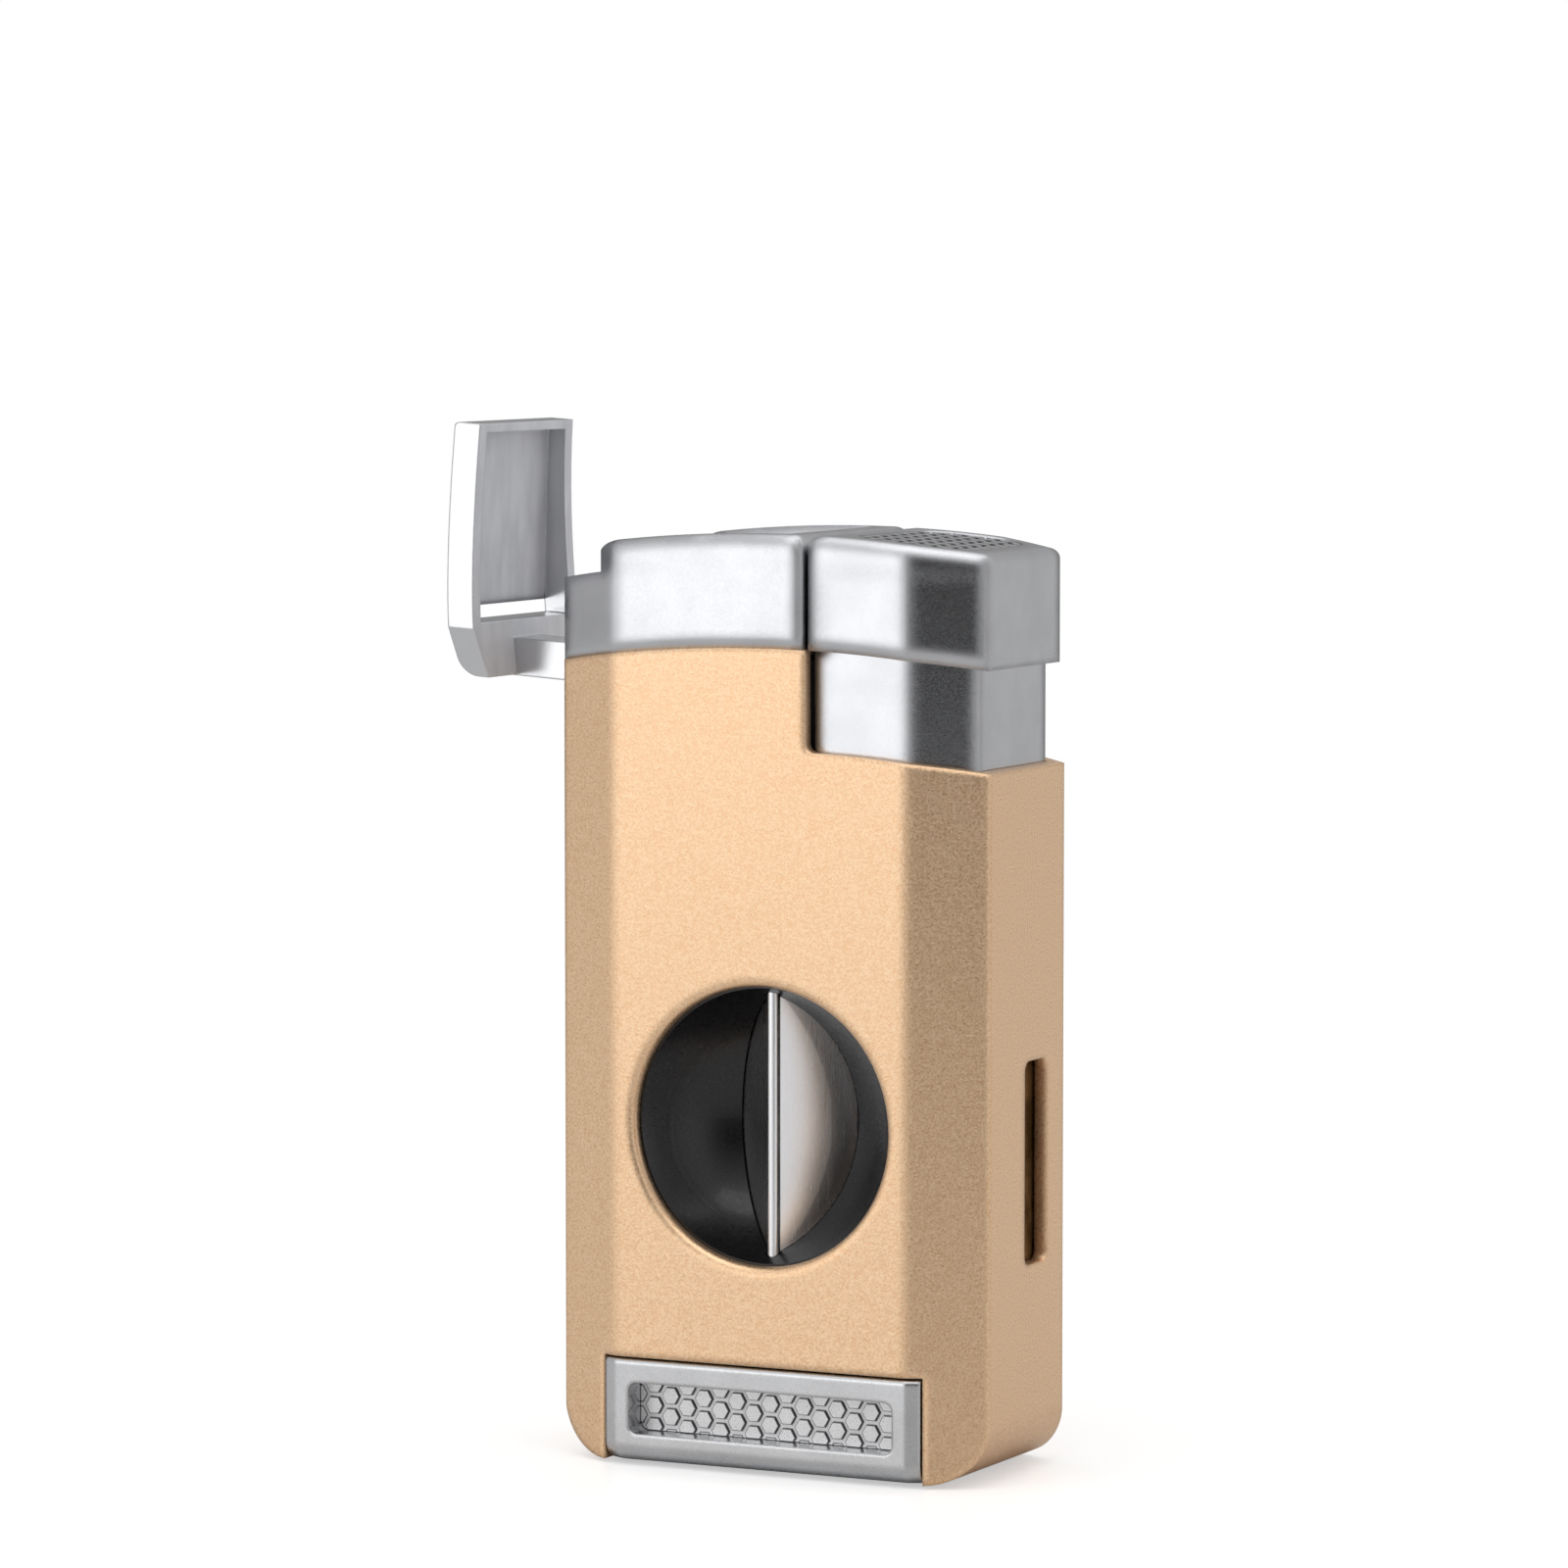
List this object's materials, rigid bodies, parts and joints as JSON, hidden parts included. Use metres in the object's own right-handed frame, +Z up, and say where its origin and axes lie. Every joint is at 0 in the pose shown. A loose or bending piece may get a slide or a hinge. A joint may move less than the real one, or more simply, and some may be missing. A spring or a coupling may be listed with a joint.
{
  "type": "flint spark lighter",
  "caption": "Pocket jet torch lighter with hinged lid, sprung thumb button and a slide-out V-shaped cigar cutter",
  "frame": {"origin": "centre of the flat base", "axes": "+Z up, X across the width with the thumb button at +X, -Y is the face with the round cutter opening"},
  "size_m": [0.0504, 0.021, 0.088],
  "materials": {
    "adjuster_seal": "rubber",
    "base_plate": "grey metal",
    "base_screws": "steel",
    "blade_carrier": "black",
    "blade_rivets": "steel",
    "body_shell": "champagne gold sand-textured paint",
    "burner_manifold": "brass",
    "button_cap": "satin silver",
    "button_grip": "polished honeycomb",
    "button_skirt": "satin",
    "button_spring": "spring steel",
    "chassis": "black",
    "chassis_screws": "steel",
    "cutter_cup": "gloss black",
    "cutter_guide": "black",
    "cutter_pull": "satin silver",
    "electrode_insulator": "white ceramic",
    "fill_valve_body": "brass",
    "fill_valve_spring": "spring steel",
    "fill_valve_stem": "brass",
    "flame_adjuster": "brass",
    "gas_hose": "soft tube",
    "gas_lever": "pressed steel",
    "head_housing": "satin silver",
    "hinge_pin": "steel",
    "ignition_electrode": "steel wire",
    "ignition_wire": "insulated wire",
    "jet_meshes": "mesh",
    "jet_nozzles": "brass",
    "lever_pin": "steel",
    "lid": "satin silver",
    "lid_catch_spring": "spring steel",
    "lid_spring": "spring steel",
    "piezo_body": "black",
    "piezo_plunger": "white",
    "pull_grip": "polished honeycomb",
    "tank": "smoked translucent plastic",
    "tank_cap": "smoked plastic",
    "v_blade": "ground steel",
    "valve_body": "brass",
    "valve_seal": "rubber",
    "valve_stem": "brass",
    "wind_plate": "steel"
  },
  "bodies": {
    "case": {"body_shell": "body_shell", "base_plate": "base_plate", "base_screws": "base_screws", "tank": "tank", "tank_cap": "tank_cap", "fill_valve_body": "fill_valve_body", "adjuster_seal": "adjuster_seal", "cutter_cup": "cutter_cup", "cutter_guide": "cutter_guide", "head_housing": "head_housing", "hinge_pin": "hinge_pin", "lid_catch_spring": "lid_catch_spring", "lid_spring": "lid_spring", "chassis": "chassis", "chassis_screws": "chassis_screws", "valve_body": "valve_body", "valve_seal": "valve_seal", "lever_pin": "lever_pin", "gas_hose": "gas_hose", "burner_manifold": "burner_manifold", "jet_nozzles": "jet_nozzles", "jet_meshes": "jet_meshes", "wind_plate": "wind_plate", "electrode_insulator": "electrode_insulator", "ignition_electrode": "ignition_electrode", "ignition_wire": "ignition_wire", "piezo_body": "piezo_body", "button_spring": "button_spring", "fill_valve_spring": "fill_valve_spring"},
    "lid": {"lid": "lid"},
    "thumb_button": {"button_cap": "button_cap", "button_skirt": "button_skirt", "button_grip": "button_grip", "piezo_plunger": "piezo_plunger"},
    "gas_lever": {"gas_lever": "gas_lever"},
    "valve_stem": {"valve_stem": "valve_stem"},
    "cutter_drawer": {"cutter_pull": "cutter_pull", "pull_grip": "pull_grip", "blade_carrier": "blade_carrier", "blade_rivets": "blade_rivets", "v_blade": "v_blade"},
    "fill_valve_stem": {"fill_valve_stem": "fill_valve_stem"},
    "flame_adjuster": {"flame_adjuster": "flame_adjuster"}
  },
  "joints": [
    {"name": "lid_hinge", "type": "hinge", "parent": "case", "child": "lid", "pos_m": [-0.0189, 0, 0.0666], "axis": [0, 1, 0], "range_deg": [0, 86.3], "stiffness_Nm_per_rad": 0.0006, "springref_deg": -28.65, "deforming": ["lid_spring"]},
    {"name": "button_slide", "type": "slide", "parent": "case", "child": "thumb_button", "axis": [0, 0, -1], "range_m": [0, 0.0065], "stiffness_N_per_m": 600, "springref_m": -0.002, "deforming": ["button_spring"]},
    {"name": "gas_lever_turn", "type": "hinge", "parent": "case", "child": "gas_lever", "pos_m": [0.0006, 0.0035, 0.0617], "axis": [0, 1, 0], "range_deg": [0, 8]},
    {"name": "valve_lift", "type": "slide", "parent": "case", "child": "valve_stem", "axis": [0, 0, 1], "range_m": [0, 0.0012]},
    {"name": "cutter_slide", "type": "slide", "parent": "case", "child": "cutter_drawer", "axis": [0, 0, -1], "range_m": [0, 0.0248]},
    {"name": "fill_press", "type": "slide", "parent": "case", "child": "fill_valve_stem", "axis": [0, 0, 1], "range_m": [0, 0.0008], "stiffness_N_per_m": 300, "springref_m": -0.001, "deforming": ["fill_valve_spring"]},
    {"name": "flame_turn", "type": "hinge", "parent": "case", "child": "flame_adjuster", "pos_m": [0.007, 0.004, 0.002], "axis": [0, 0, 1], "range_deg": [-135, 135]}
  ],
  "couplings": [
    {"joint": "gas_lever_turn", "follows": "button_slide", "rad_per_m": 21.481},
    {"joint": "valve_lift", "follows": "button_slide", "ratio": 0.16923}
  ]
}
